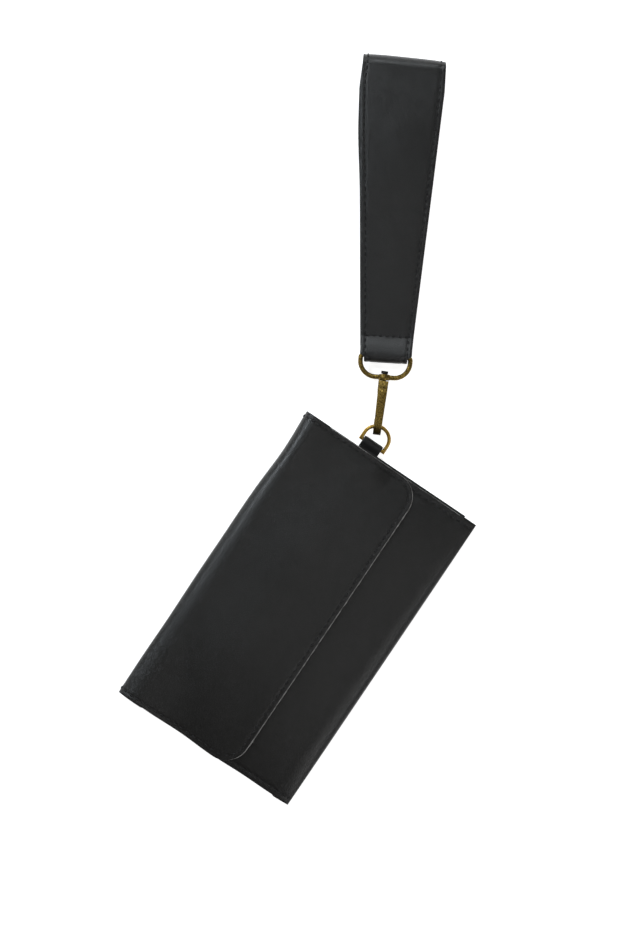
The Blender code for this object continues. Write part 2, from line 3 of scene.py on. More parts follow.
import bmesh
import bpy
import numpy as np
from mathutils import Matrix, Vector


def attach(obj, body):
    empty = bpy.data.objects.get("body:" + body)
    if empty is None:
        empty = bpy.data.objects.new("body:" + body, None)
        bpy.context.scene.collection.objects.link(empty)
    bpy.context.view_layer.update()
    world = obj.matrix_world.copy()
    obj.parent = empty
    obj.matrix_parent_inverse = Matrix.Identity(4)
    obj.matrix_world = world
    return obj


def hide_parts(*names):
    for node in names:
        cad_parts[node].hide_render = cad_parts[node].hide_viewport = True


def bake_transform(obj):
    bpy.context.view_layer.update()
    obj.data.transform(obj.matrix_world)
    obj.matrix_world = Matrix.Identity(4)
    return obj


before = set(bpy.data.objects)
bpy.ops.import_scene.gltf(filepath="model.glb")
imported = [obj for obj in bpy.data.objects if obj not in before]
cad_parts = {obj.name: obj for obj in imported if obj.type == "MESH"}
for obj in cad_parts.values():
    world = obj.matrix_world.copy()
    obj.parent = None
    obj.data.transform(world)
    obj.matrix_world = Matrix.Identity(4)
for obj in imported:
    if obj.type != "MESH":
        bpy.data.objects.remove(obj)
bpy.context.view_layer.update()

# ---- Back and lower half of the top fold ---------------------------------------
# The wallet's body is one long strip of black full-grain leather, 1.1 mm thick. This
# stretch is the back, cut square at both sides, and it turns up into the soft top
# fold, where it goes over into the flap's leather without a seam.
HALF_LENGTH = 0.095
HALF_HEIGHT = 0.0575
LEATHER = 0.0011
FOLD_Y = 0.052
FOLD_RADIUS = 0.0055
FLAP_TURN = 0.0420          # where the flap starts to turn down into the top fold
BACK_EDGE = -0.0523         # where the back runs into the bottom fold
BACK_SEAM = 0.0035          # side seams, in from the short edges
FLAP_SEAM = 0.0028
FOLD_SEAM_LOW = 0.0031
FOLD_SEAM_HIGH = 0.0030
FLAP_EDGE = -0.021
FLAP_CORNER = 0.014


def smooth(start, end, value):
    """0 before start, 1 after end, with a soft step between."""
    t = np.clip((value - start) / (end - start), 0.0, 1.0)
    return t * t * (3.0 - 2.0 * t)


def soft_waves(x, y, length, seed):
    """Slow unevenness of a hand-cut skin, about -1 to 1, of one wave length."""
    rng = np.random.RandomState(seed)
    total = 0.0
    for share in (1.0, 0.8, 0.6, 0.5, 0.4):
        turn = rng.uniform(0.0, math.pi)
        start = rng.uniform(0.0, 2 * math.pi)
        wave = length * (0.6 + 0.5 * share)
        along = x * math.cos(turn) + y * math.sin(turn)
        total = total + share * np.sin(2 * math.pi * along / wave + start)
    return total / 2.4


def tab_rise(x, y):
    """How far the tab's caught ends lift what lies over them."""
    return 0.0019 * smooth(0.077, 0.0855, x) * (1.0 - smooth(0.0085, 0.020, np.abs(y - 0.0165)))


def front_inside(x, y):
    """Height of the front leather's inner face over the pocket."""
    fullness = 0.65 + 0.35 * smooth(-0.053, -0.015, y) - 0.34 * smooth(0.008, 0.048, y)
    crown = 1.0 - (np.abs(x) / HALF_LENGTH) ** 4
    return 0.0029 + 0.0069 * crown * fullness + tab_rise(x, y) * (1.0 - crown)


def from_edge(x, y):
    """Distance in from the flap's cut edge, round its two free corners."""
    inner = HALF_LENGTH - FLAP_CORNER
    low = FLAP_EDGE + FLAP_CORNER
    straight = np.minimum(HALF_LENGTH - np.abs(x), y - FLAP_EDGE)
    round_part = FLAP_CORNER - np.hypot(np.abs(x) - inner, y - low)
    return np.where((np.abs(x) > inner) & (y < low), round_part, straight)


def groove(distance, seam):
    """How deep the thread pulls the leather down, at a distance in from the edge."""
    return 0.00018 * np.exp(-((distance - seam) / 0.0010) ** 2)


def edge_roll(distance):
    """How far a cut edge rolls down."""
    return 0.00022 * np.exp(-(np.maximum(distance, 0.0) / 0.0006) ** 2)


def flap_height(x, y):
    """Height of the flap's grain side where it lies on the front."""
    resting = front_inside(x, y) + LEATHER + 0.0016
    share = smooth(0.010, FOLD_Y, y)
    height = np.maximum(resting, resting * (1 - share) + (2 * FOLD_RADIUS - LEATHER) * share) + LEATHER
    distance = from_edge(x, y)
    calm = 1.0 - 0.75 * smooth(0.030, 0.044, y)
    height = height + 0.00022 * calm * soft_waves(x, y, 0.052, 4) * smooth(0.0, 0.012, distance)
    height = height + 0.00003 * calm * soft_waves(x, y, 0.016, 9)
    height = height - groove(distance, FLAP_SEAM) - edge_roll(distance)
    reach = 0.0112 - 0.0036 * x / HALF_LENGTH
    share = np.clip((y - (HALF_HEIGHT - reach)) / reach, 0.0, 1.0)
    return FOLD_RADIUS + (height - FOLD_RADIUS) * np.sqrt(1.0 - share ** 2)


def back_height(x, y):
    """Height of the back's grain side, which lies on the table."""
    return groove(HALF_LENGTH - np.abs(x), BACK_SEAM) * 0.6 + 0.00008 * (1 + soft_waves(x, y, 0.03, 6))


def turned(x, stations):
    """Points of the body leather's grain side, one row for each station along it."""
    rows = []
    for kind, value in stations:
        sway = -0.0012 * np.exp(-((x - 0.070) / 0.019) ** 2) + 0.00035 * soft_waves(x, 0 * x, 0.05, 2)
        sway = sway * smooth(0.094, 0.085, x)
        seam = HALF_LENGTH - np.abs(x)
        if kind == "back":
            y = np.full_like(x, value)
            z = back_height(x, y)
        elif kind == "low":
            depth = FOLD_RADIUS - 0.6 * groove(seam, FOLD_SEAM_LOW)
            y = FOLD_Y + depth * math.sin(value) + sway * smooth(0.0, 1.4, value)
            z = FOLD_RADIUS - depth * math.cos(value)
        elif kind == "high":
            reach = HALF_HEIGHT - FLAP_TURN
            y = FLAP_TURN + reach * math.sin(value)
            z = flap_height(x, y)
            y = y - 0.6 * groove(seam, FOLD_SEAM_HIGH) * math.sin(value) + sway * smooth(0.2, 1.4, value)
        else:
            y = np.full_like(x, value)
            z = flap_height(x, y)
        rows.append(np.stack([x, y, z], axis=-1))
    return np.array(rows)


def grid_normals(points, wrap=False):
    """Unit normals of a grid of points, rows first."""
    if wrap:
        along = np.roll(points, -1, axis=0) - np.roll(points, 1, axis=0)
    else:
        along = np.gradient(points, axis=0)
    across = np.gradient(points, axis=1)
    normal = np.cross(across, along)
    return normal / np.maximum(np.linalg.norm(normal, axis=2, keepdims=True), 1e-12)


def places(low, high, border, fine, step):
    """Grid places from low to high, closer together within a border of both ends."""
    near = np.arange(0.0, border, fine)
    middle = np.linspace(low + border, high - border, max(2, round((high - low - 2 * border) / step)))
    return np.concatenate([low + near, middle, high - near[::-1]])


def face_outward(mesh):
    """Turn every face of a closed mesh outward."""
    shaped = bmesh.new()
    shaped.from_mesh(mesh)
    bmesh.ops.recalc_face_normals(shaped, faces=shaped.faces)
    shaped.to_mesh(mesh)
    shaped.free()


def shade_smooth(mesh, angle):
    """Smooth shading, but for edges sharper than an angle in degrees."""
    mesh.polygons.foreach_set("use_smooth", np.ones(len(mesh.polygons), bool))
    mesh.set_sharp_from_angle(angle=math.radians(angle))


def add_piece(name, data):
    """New object of the scene."""
    piece = bpy.data.objects.new(name, data)
    bpy.context.scene.collection.objects.link(piece)
    return piece


def make_ply(name, grain, flesh, materials, wrap=False):
    """Closed ply of skin or cloth between its two faces, equal grids of points.
    Materials are for the grain side, the cut edge and the flesh side."""
    rows, columns = grain.shape[:2]
    count = rows * columns
    index = np.arange(count).reshape(rows, columns)
    after = np.roll(index, -1, axis=0) if wrap else index[1:]
    before = index if wrap else index[:-1]
    top = np.stack([before[:, :-1], before[:, 1:], after[:, 1:], after[:, :-1]], -1).reshape(-1, 4)
    faces = [top, top[:, ::-1] + count]
    for column, flip in ((0, 1), (columns - 1, -1)):
        side = np.stack([before[:, column], after[:, column], after[:, column] + count,
                         before[:, column] + count], -1)
        faces.append(side[:, ::flip])
    if not wrap:
        for row, flip in ((0, -1), (rows - 1, 1)):
            end = np.stack([index[row, :-1], index[row, 1:], index[row, 1:] + count,
                            index[row, :-1] + count], -1)
            faces.append(end[:, ::flip])
    mesh = bpy.data.meshes.new(name)
    points = np.concatenate([grain.reshape(-1, 3), flesh.reshape(-1, 3)])
    mesh.from_pydata(points.tolist(), [], np.concatenate(faces).tolist())
    slots = np.concatenate([np.zeros(len(top), int), np.full(len(top), 2),
                            np.full(sum(len(f) for f in faces[2:]), 1)])
    mesh.polygons.foreach_set("material_index", slots.astype(np.int32))
    for material in materials:
        mesh.materials.append(material)
    face_outward(mesh)
    shade_smooth(mesh, 42)
    place = mesh.attributes.new("place", "FLOAT_VECTOR", "POINT")
    place.data.foreach_set("vector", points.astype(np.float32).ravel())
    return add_piece(name, mesh)


def fill(tree, node, inputs):
    """Set a node's inputs; one whose value is another node's output is linked to it."""
    for key, value in inputs.items():
        if isinstance(value, bpy.types.NodeSocket):
            tree.links.new(value, node.inputs[key])
        else:
            node.inputs[key].default_value = value
    return node


def add(tree, kind, inputs, **settings):
    """New node of a kind with its settings and inputs."""
    node = tree.nodes.new(kind)
    for key, value in settings.items():
        setattr(node, key, value)
    return fill(tree, node, inputs)


def new_group(name, kind, sockets):
    """Empty node group with what goes in and what comes out."""
    group = bpy.data.node_groups.new(name, kind)
    for label, way, holds in sockets:
        group.interface.new_socket(label, in_out=way, socket_type="NodeSocket" + holds)
    return group, group.nodes.new("NodeGroupInput").outputs, group.nodes.new("NodeGroupOutput")


def noise(tree, place, scale, detail, roughness=0.5):
    values = {"Vector": place, "Scale": scale, "Detail": detail, "Roughness": roughness}
    return add(tree, "ShaderNodeTexNoise", values).outputs


def ranged(tree, value, ends, to=(0.0, 1.0), **settings):
    """A value between two ends, brought to between two others."""
    values = {"Value": value, "From Min": ends[0], "From Max": ends[1], "To Min": to[0], "To Max": to[1]}
    return add(tree, "ShaderNodeMapRange", values, **settings).outputs["Result"]


def maths(tree, operation, *values):
    return add(tree, "ShaderNodeMath", dict(enumerate(values)), operation=operation).outputs["Value"]


def mixed(tree, share, first, second):
    """Colour from first to second; either is a plain colour or an output."""
    first, second = [c if isinstance(c, bpy.types.NodeSocket) else (*c, 1) for c in (first, second)]
    values = {"Factor": share, "A": first, "B": second}
    return add(tree, "ShaderNodeMix", values, data_type="RGBA").outputs["Result"]


def new_material(name, ply=True):
    """Material, its nodes, and the place at rest: kept in a ply, or taken from the object."""
    material = bpy.data.materials.new(name)
    material.use_nodes = True
    tree = material.node_tree
    if ply:
        place = add(tree, "ShaderNodeAttribute", {}, attribute_name="place").outputs["Vector"]
    else:
        place = add(tree, "ShaderNodeTexCoord", {}).outputs["Object"]
    return material, tree, place


def dress(tree, colour, height, strength, depth, others):
    """Give the shader its colour, its bumps and its other values."""
    bump = add(tree, "ShaderNodeBump", {"Strength": strength, "Distance": depth, "Height": height})
    fill(tree, tree.nodes["Principled BSDF"],
         {"Base Color": colour, "Normal": bump.outputs["Normal"], **others})


def pebble_group():
    """Node group for the grain of a skin: pillowed cells with creases between them."""
    tree, given, out = new_group("pebble grain", "ShaderNodeTree", (
        ("Place", "INPUT", "Vector"), ("Cells per metre", "INPUT", "Float"),
        ("Height", "OUTPUT", "Float"), ("Crease", "OUTPUT", "Float")))
    bend = noise(tree, given["Place"], 900.0, 2.0)["Color"]
    shift = add(tree, "ShaderNodeVectorMath", {0: bend, 1: (0.0006, 0.0006, 0.0006), 2: given["Place"]},
                operation="MULTIPLY_ADD").outputs["Vector"]
    cells = add(tree, "ShaderNodeTexVoronoi", {"Vector": shift, "Scale": given["Cells per metre"]},
                feature="DISTANCE_TO_EDGE").outputs["Distance"]
    pillow = ranged(tree, cells, (0.0, 0.22), interpolation_type="SMOOTHSTEP")
    pores = noise(tree, given["Place"], 3200.0, 3.0)["Fac"]
    fill(tree, out, {"Height": maths(tree, "MULTIPLY_ADD", pores, 0.55, pillow),
                     "Crease": maths(tree, "SUBTRACT", 1.0, pillow)})
    return tree


pebble = pebble_group()


def skin_material(name, light, dark, rough_low, rough_high, cells, depth, shine):
    """Dyed leather: uneven dye, pebbled grain, and gloss that comes and goes."""
    material, tree, place = new_material(name)
    grain = add(tree, "ShaderNodeGroup", {"Cells per metre": cells, "Place": place}, node_tree=pebble).outputs
    dye = mixed(tree, noise(tree, place, 38.0, 5.0, 0.62)["Fac"], dark, light)
    colour = mixed(tree, grain["Crease"], dye, [c * 0.55 for c in dark])
    gloss = ranged(tree, noise(tree, place, 21.0, 4.0)["Fac"], (0.3, 0.7), (rough_low, rough_high))
    dress(tree, colour, grain["Height"], 1.0, depth, {"Roughness": gloss, "Specular IOR Level": shine})
    return material


def cut_edge_material(name, colour, dark):
    """Raw cut edge of dyed leather, where the grey fibres show."""
    material, tree, place = new_material(name)
    fibres = noise(tree, place, 1500.0, 4.0)["Fac"]
    patches = ranged(tree, noise(tree, place, 240.0, 3.0)["Fac"], (0.38, 0.62))
    dress(tree, mixed(tree, patches, dark, colour), fibres, 0.8, 0.0002,
          {"Specular IOR Level": 0.2, "Roughness": 0.9})
    return material


body_skin = skin_material("black body leather", (0.0105, 0.0098, 0.0090), (0.0072, 0.0067, 0.0061),
                          0.28, 0.36, 2000, 0.000030, 0.50)
cut_edge = cut_edge_material("cut leather edge", (0.44, 0.435, 0.425), (0.17, 0.166, 0.16))
flesh_skin = cut_edge_material("leather flesh side", (0.030, 0.029, 0.028), (0.016, 0.015, 0.015))
body_skins = [body_skin, cut_edge, flesh_skin]

fold_x = places(-HALF_LENGTH, HALF_LENGTH, 0.0056, 0.00040, 0.0016)
fold_low = [("low", a) for a in np.linspace(0.0, math.pi / 2 - 0.01, 26)] + [("low", math.pi / 2)]
back_stations = [("back", y) for y in np.linspace(BACK_EDGE, FOLD_Y, 72)] + fold_low[1:]
back_grain = turned(fold_x, back_stations)
back_flesh = back_grain + LEATHER * grid_normals(back_grain)
back_leather = make_ply("back_leather", back_grain, back_flesh, body_skins)
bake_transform(back_leather)
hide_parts("back_panel", "top_fold")

# ---- Flap ----------------------------------------------------------------------
# The same strip of leather goes on over the top fold and down the front as the flap,
# cut with two round free corners. Its cut edge is left raw and shows its grey fibres,
# which stand a little past the dyed grain side.
EDGE_SHOWS = 0.00060


def side_sway(y):
    """How unevenly the two short sides were cut and sewn, to the left and the right."""
    left = -0.0007 * smooth(0.030, 0.0, y) * smooth(-0.06, -0.02, y) + 0.00025 * soft_waves(y, 0 * y, 0.03, 5)
    right = 0.0002 * soft_waves(y, 0 * y, 0.04, 8)
    return left, right


flap_stations = [("high", a) for a in (math.pi / 2, *np.linspace(math.pi / 2 - 0.01, 0.0, 34))]
fold_rows = len(flap_stations)
flap_stations += [("flap", y) for y in np.linspace(FLAP_TURN, FLAP_EDGE + FLAP_CORNER, 40)[1:]]
corner_turns = np.linspace(0.0, math.pi / 2, 34)[1:]
flap_stations += [("flap", FLAP_EDGE + FLAP_CORNER - FLAP_CORNER * math.sin(a)) for a in corner_turns]


def flap_grid(inset):
    """Grain side of the flap, its outline moved in by inset from the cut edge."""
    straight_rows = len(flap_stations) - len(corner_turns)
    halves = [HALF_LENGTH - inset] * straight_rows
    radius = FLAP_CORNER - inset
    halves += [HALF_LENGTH - FLAP_CORNER + radius * math.cos(a) for a in corner_turns]
    rows = []
    for number, (station, half) in enumerate(zip(flap_stations, halves)):
        kind, value = station
        turn = number - straight_rows
        if turn >= 0:
            value = FLAP_EDGE + FLAP_CORNER - radius * math.sin(corner_turns[turn])
        row = turned(fold_x / HALF_LENGTH * half, [(kind, value)])[0]
        left, right = side_sway(np.full(1, value if kind == "flap" else 0.05))
        share = smooth(0.070, 0.095, np.abs(row[:, 0]))
        row[:, 0] += share * np.where(row[:, 0] < 0, left[0], right[0]) * (0.0 if kind == "high" else 1.0)
        rows.append(row)
    return np.array(rows)


flap_grain = flap_grid(EDGE_SHOWS)
flap_wide = flap_grid(0.0)
flap_flesh = flap_wide + LEATHER * grid_normals(flap_wide)
flap_grain[:fold_rows] = flap_wide[:fold_rows]
ragged = 0.00008 * soft_waves(fold_x, 0 * fold_x, 0.007, 31)
ragged += 0.00006 * soft_waves(fold_x, 0 * fold_x, 0.0031, 32)
flap_flesh[-1, :, 1] += ragged
flap_leather = make_ply("flap_leather", flap_grain, flap_flesh, body_skins)
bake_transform(flap_leather)
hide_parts("flap_outer")

# ---- Front leather and bottom fold ----------------------------------------------
# The strip's other end turns up round the bottom fold and covers the front of the
# pocket under the flap. It stands crowned over what the pocket holds, and both its
# short sides are sewn down flat.
MOUTH_Y = 0.045
LOW_TURN = -0.0480          # where the front starts to turn down into the bottom fold


def front_height(x, y):
    """Height of the front's grain side."""
    height = front_inside(x, y) + LEATHER
    seam = HALF_LENGTH - np.abs(x)
    height = height + 0.00020 * soft_waves(x, y, 0.045, 14) * smooth(0.0, 0.012, seam)
    height = height + 0.00004 * soft_waves(x, y, 0.012, 19)
    return height - groove(seam, BACK_SEAM) - edge_roll(seam)


def front_rows(x, stations):
    """Points of the front's grain side, one row for each station along it."""
    rows = []
    middle = (front_inside(x, np.full_like(x, -HALF_HEIGHT)) + LEATHER) / 2
    for kind, value in stations:
        if kind == "lip":
            y = np.full_like(x, value)
            z = back_height(x, y)
        elif kind == "under":
            y = -HALF_HEIGHT + middle * (1 - math.sin(value))
            z = middle * (1 - math.cos(value))
        elif kind == "over":
            y = np.full_like(x, LOW_TURN - (HALF_HEIGHT + LOW_TURN) * math.sin(value))
            z = middle + (front_height(x, y) - middle) * math.cos(value)
        else:
            y = np.full_like(x, value)
            z = front_height(x, y)
        left, right = side_sway(y)
        share = smooth(0.070, 0.095, np.abs(x)) * (kind != "lip") * (kind != "under")
        rows.append(np.stack([x + share * np.where(x < 0, left, right), y, z], axis=-1))
    return np.array(rows)


front_stations = [("lip", BACK_EDGE)] + [("under", a) for a in np.linspace(0.0, math.pi / 2, 18)]
front_stations += [("over", a) for a in np.linspace(math.pi / 2, 0.0, 24)[1:]]
bend_rows = len(front_stations)
front_stations += [("front", y) for y in np.linspace(LOW_TURN, MOUTH_Y, 64)[1:]]
front_wide = front_rows(fold_x, front_stations)
front_flesh = front_wide - LEATHER * grid_normals(front_wide)
front_grain = front_wide.copy()
front_grain[bend_rows:, :, 0] *= 1 - EDGE_SHOWS / HALF_LENGTH
front_leather = make_ply("front_leather", front_grain, front_flesh, body_skins)
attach(front_leather, "pouch")
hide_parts("front_panel")

# ---- Lining and card pocket -----------------------------------------------------
# Inside the pocket both walls are lined with a fine black cloth, and a thin leather
# panel with two card slots is caught in the side seams. On the D-ring side the
# panel's cut edge stands a millimetre out of the seam.
GAP = 0.0003
CARD_BASE = -0.0495
CARD_LOW = 0.0020
SLOT_HALF = 0.076


def cloth_material(name, colour, dark, threads, depth):
    """Closely woven lining cloth: two sets of threads over and under each other."""
    material, tree, place = new_material(name)
    bands = [add(tree, "ShaderNodeTexWave", {"Vector": place, "Scale": threads, "Distortion": 0.4},
                 bands_direction=direction).outputs["Fac"] for direction in ("X", "Y")]
    woven = maths(tree, "MAXIMUM", *bands)
    dress(tree, mixed(tree, woven, dark, colour), woven, 0.7, depth,
          {"Roughness": 0.85, "Sheen Weight": 0.25})
    return material


lining_cloth = cloth_material("black lining cloth", (0.020, 0.020, 0.022), (0.008, 0.008, 0.009),
                              420, 0.00008)
card_skin = skin_material("card pocket leather", (0.014, 0.0136, 0.0132), (0.009, 0.0088, 0.0086),
                          0.38, 0.50, 2300, 0.000022, 0.45)
card_edge = cut_edge_material("card pocket edge", (0.016, 0.0155, 0.015), (0.007, 0.007, 0.007))


def flat_grid(x_range, y_range, height, step=0.003):
    """Points over an X and Y range at height(x, y), one row for each Y."""
    xs = np.linspace(*x_range, max(3, round((x_range[1] - x_range[0]) / step)))
    ys = np.linspace(*y_range, max(3, round((y_range[1] - y_range[0]) / step)))
    x, y = np.meshgrid(xs, ys)
    return np.stack([x, y, height(x, y)], axis=-1)


def laid_layer(name, x_range, y_range, height, thickness, materials, node):
    """Flat layer inside the pouch, its lower face at height(x, y)."""
    low_face = flat_grid(x_range, y_range, height)
    high_face = low_face + np.array([0.0, 0.0, thickness])
    layer = make_ply(name, high_face, low_face, materials)
    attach(layer, "pouch")
    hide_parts(node)
    return layer


def slot_bow(x, y):
    """How far the card slots bow up."""
    return 0.00016 * (1.0 + soft_waves(x, y, 0.06, 41))


back_cloth = laid_layer("back_lining_cloth", (-0.092, 0.084), (-0.048, 0.050),
                        lambda x, y: LEATHER + GAP + 0.00008 * soft_waves(x, y, 0.03, 40),
                        0.0003, [lining_cloth] * 3, "back_lining")
card_pocket = laid_layer("card_pocket", (-0.094, 0.0958), (CARD_BASE, 0.044),
                         lambda x, y: CARD_LOW + tab_rise(x, y), 0.0006,
                         [card_skin, card_edge, card_skin], "card_panel")
for vertex in card_pocket.data.vertices:
    if vertex.co.x > 0.0945:
        vertex.co.x -= 0.0014 * smooth(0.017, 0.024, vertex.co.y)
for name, slot_top, rise, node in (("upper_card_slot", 0.028, 0.0028, "card_slot_upper"),
                                   ("lower_card_slot", 0.012, 0.0036, "card_slot_lower")):
    laid_layer(name, (-SLOT_HALF, SLOT_HALF), (CARD_BASE, slot_top), lambda x, y: rise + slot_bow(x, y),
               0.0005, [card_skin, card_edge, card_skin], node)
front_cloth = laid_layer("front_lining_cloth", (-0.088, 0.088), (-0.047, 0.043),
                         lambda x, y: front_inside(x, y) - GAP - 0.00045,
                         0.0003, [lining_cloth] * 3, "front_lining")

# ---- Flap lining and magnets ----------------------------------------------------
# A second, softer skin backs the flap up to its seam. A thin disc magnet sits between
# the two and shows as a low round swelling; its mate lies behind the front leather.
FLAP_LINING = 0.0008
MAGNET_Y = -0.008

soft_skin = skin_material("soft flap lining", (0.016, 0.0158, 0.0155), (0.010, 0.0098, 0.0096),
                          0.62, 0.75, 2600, 0.00003, 0.25)
lining_top = flap_grid(0.0010)[fold_rows:]
lining_top[:, :, 2] -= LEATHER + GAP
swelling = smooth(0.0088, 0.0058, np.hypot(lining_top[:, :, 0], lining_top[:, :, 1] - MAGNET_Y))
lining_low = lining_top - np.array([0.0, 0.0, 1.0]) * (FLAP_LINING + 0.00030 * swelling)[:, :, None]
flap_backing = make_ply("flap_backing", lining_low, lining_top, [soft_skin, cut_edge, soft_skin])
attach(flap_backing, "flap")
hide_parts("flap_lining")


def metal_material(name, bright, tarnish_and_shade, rough_low, rough_high, patches, scratch, painted_shade_from=None):
    """Plated or cast metal: tarnish in patches, fine scratches, uneven polish.

    The optional last argument (direction, start, end) paints shade on the metal: it is darker before start
    and has its full brightness after end, along the direction.
    """
    material, tree, place = new_material(name, ply=False)
    clean = ranged(tree, noise(tree, place, patches, 6.0, 0.65)["Fac"], (0.36, 0.64))
    shine = clean
    if painted_shade_from:
        direction, start, end = painted_shade_from
        along = add(tree, "ShaderNodeVectorMath", {0: place, 1: direction}, operation="DOT_PRODUCT")
        # Painted shade: the brightness drops to 0.3 before start and rises to full after end.
        painted_shade = ranged(tree, along.outputs["Value"], (start, end), (0.30, 1.0))
        shine = maths(tree, "MULTIPLY", clean, painted_shade)
    polish = ranged(tree, clean, (0.0, 1.0), (rough_high, rough_low))
    pits = noise(tree, place, 2200.0, 4.0)["Fac"]
    dress(tree, mixed(tree, shine, tarnish_and_shade, bright), pits, 0.6, scratch, {"Metallic": 1.0, "Roughness": polish})
    return material


bright_steel = metal_material("bright steel", (0.55, 0.55, 0.56), (0.32, 0.32, 0.33), 0.22, 0.4, 500, 0.00002)
for magnet in ("front_magnet", "flap_magnet", "gate_spring"):
    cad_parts[magnet].data.materials[0] = bright_steel

# ---- Tab ------------------------------------------------------------------------
# A narrow strip of thinner, blacker leather goes round the D-ring's straight side,
# and both its ends are caught in the side seam between front and back.
RING_BAR = Vector((0.0998, 0.0165, 0.0025))
RING_WIRE = 0.00105
TAB_LEATHER = 0.0010
TAB_WIDTH = 0.0122
TAB_INNER = 0.0861          # where the caught ends stop inside the pouch

tab_skin = skin_material("tab leather", (0.0075, 0.0076, 0.0080), (0.0050, 0.0050, 0.0053),
                         0.34, 0.44, 2300, 0.00002, 0.42)
tab_edge = cut_edge_material("tab edge", (0.022, 0.022, 0.022), (0.010, 0.010, 0.010))
tab_radius = RING_WIRE + 0.00035 + TAB_LEATHER / 2
tab_low = LEATHER + 0.00035 + TAB_LEATHER / 2
tab_high = tab_low + TAB_LEATHER + 0.0001
tab_runs = np.linspace(HALF_LENGTH + GAP, RING_BAR.x, 12)[:-1]


def tab_slope(x, start, end):
    """Height of a run of the tab on its way from the seam to the ring's bar."""
    return start + (end - start) * smooth(tab_runs[0], RING_BAR.x, x)


tab_line = [(TAB_INNER, tab_low)]
tab_line += [(x, tab_slope(x, tab_low, RING_BAR.z - tab_radius)) for x in tab_runs]
tab_line += [(RING_BAR.x + tab_radius * math.cos(a), RING_BAR.z + tab_radius * math.sin(a))
             for a in np.linspace(-math.pi / 2, math.pi / 2, 26)]
tab_line += [(x, tab_slope(x, tab_high, RING_BAR.z + tab_radius)) for x in tab_runs[::-1]]
tab_line += [(TAB_INNER, tab_high)]
tab_line = np.array(tab_line)
tab_run = np.gradient(tab_line, axis=0)
tab_run /= np.linalg.norm(tab_run, axis=1, keepdims=True)
tab_across = np.concatenate([[-0.5, -0.485, -0.46], np.linspace(-0.42, 0.42, 13), [0.46, 0.485, 0.5]])
tab_round = 0.00032 * (np.abs(tab_across) / 0.5) ** 18
tab_faces = []
for side in (1.0, -1.0):
    depth = TAB_LEATHER / 2 - tab_round * (side > 0)
    x = tab_line[:, 0:1] + side * tab_run[:, 1:2] * depth[None, :]
    z = tab_line[:, 1:2] - side * tab_run[:, 0:1] * depth[None, :]
    y = RING_BAR.y + np.broadcast_to(tab_across * TAB_WIDTH, x.shape)
    tab_faces.append(np.stack([x, y, z], axis=-1))
tab_strip = make_ply("ring_tab", tab_faces[0], tab_faces[1], [tab_skin, tab_edge, tab_skin])
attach(tab_strip, "pouch")
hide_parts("tab_strip")

# ---- D-ring ---------------------------------------------------------------------
# Yellow brass wire bent to a small D, its straight side in the tab. The corners are
# cut square beside the tab.
RING_HALF = 0.00745
RING_DEPTH = 0.01130
RING_TILT = math.radians(12.0)


def tube_faces(rings, sides, closed=True):
    """Faces from each ring of points to the next and, if closed, to the first again."""
    faces = []
    for i in range(rings if closed else rings - 1):
        j = (i + 1) % rings
        for k in range(sides):
            m = (k + 1) % sides
            faces.append((i * sides + k, i * sides + m, j * sides + m, j * sides + k))
    return faces


def bent_wire(name, path, radius, facing, material, sides=18):
    """Closed loop of round wire along a flat path; facing is square to the path."""
    points = []
    count = len(path)
    for number, point in enumerate(path):
        before = (point - path[number - 1]).normalized()
        after = (path[(number + 1) % count] - point).normalized()
        tangent = (before + after).normalized()
        across = facing.cross(tangent).normalized()
        stretch = 1.0 / max(tangent.dot(after), 0.5)
        points += [point + radius * (stretch * math.cos(a) * across + math.sin(a) * facing)
                   for a in np.linspace(0, 2 * math.pi, sides, endpoint=False)]
    return solid_piece(name, points, tube_faces(count, sides), material)


def solid_piece(name, points, faces, material, angle=40):
    """Closed solid from points and faces, shaded smooth but for its sharp edges."""
    mesh = bpy.data.meshes.new(name)
    mesh.from_pydata([tuple(p) for p in points], [], faces)
    face_outward(mesh)
    shade_smooth(mesh, angle)
    mesh.materials.append(material)
    return add_piece(name, mesh)


ring_brass = metal_material("yellow brass", (0.52, 0.33, 0.075), (0.36, 0.22, 0.045),
                            0.30, 0.46, 420, 0.00002)
ring_along = Vector((math.cos(RING_TILT), 0, math.sin(RING_TILT)))
ring_facing = Vector((-math.sin(RING_TILT), 0, math.cos(RING_TILT)))
ring_flat = [(0.0, 0.0), (0.0, -0.5 * RING_HALF), (0.0, -RING_HALF), (0.0019, -RING_HALF)]
ring_flat += [(RING_DEPTH - RING_HALF + RING_HALF * math.cos(a), RING_HALF * math.sin(a))
              for a in np.linspace(-math.pi / 2, math.pi / 2, 48)]
ring_flat += [(0.0019, RING_HALF), (0.0, RING_HALF), (0.0, 0.5 * RING_HALF)]
ring_path = [RING_BAR + a * ring_along + b * Vector((0, 1, 0)) for a, b in ring_flat]
brass_ring = bent_wire("brass_ring", ring_path, RING_WIRE, ring_facing, ring_brass)
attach(brass_ring, "d_ring")
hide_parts("d_ring")

# ---- Snap hook ------------------------------------------------------------------
# Cast hook in antique brass, lying on its side, with a sprung gate on a cross pin. A
# blackened rivet runs from its neck through the swivel eye, its head inside the eye.


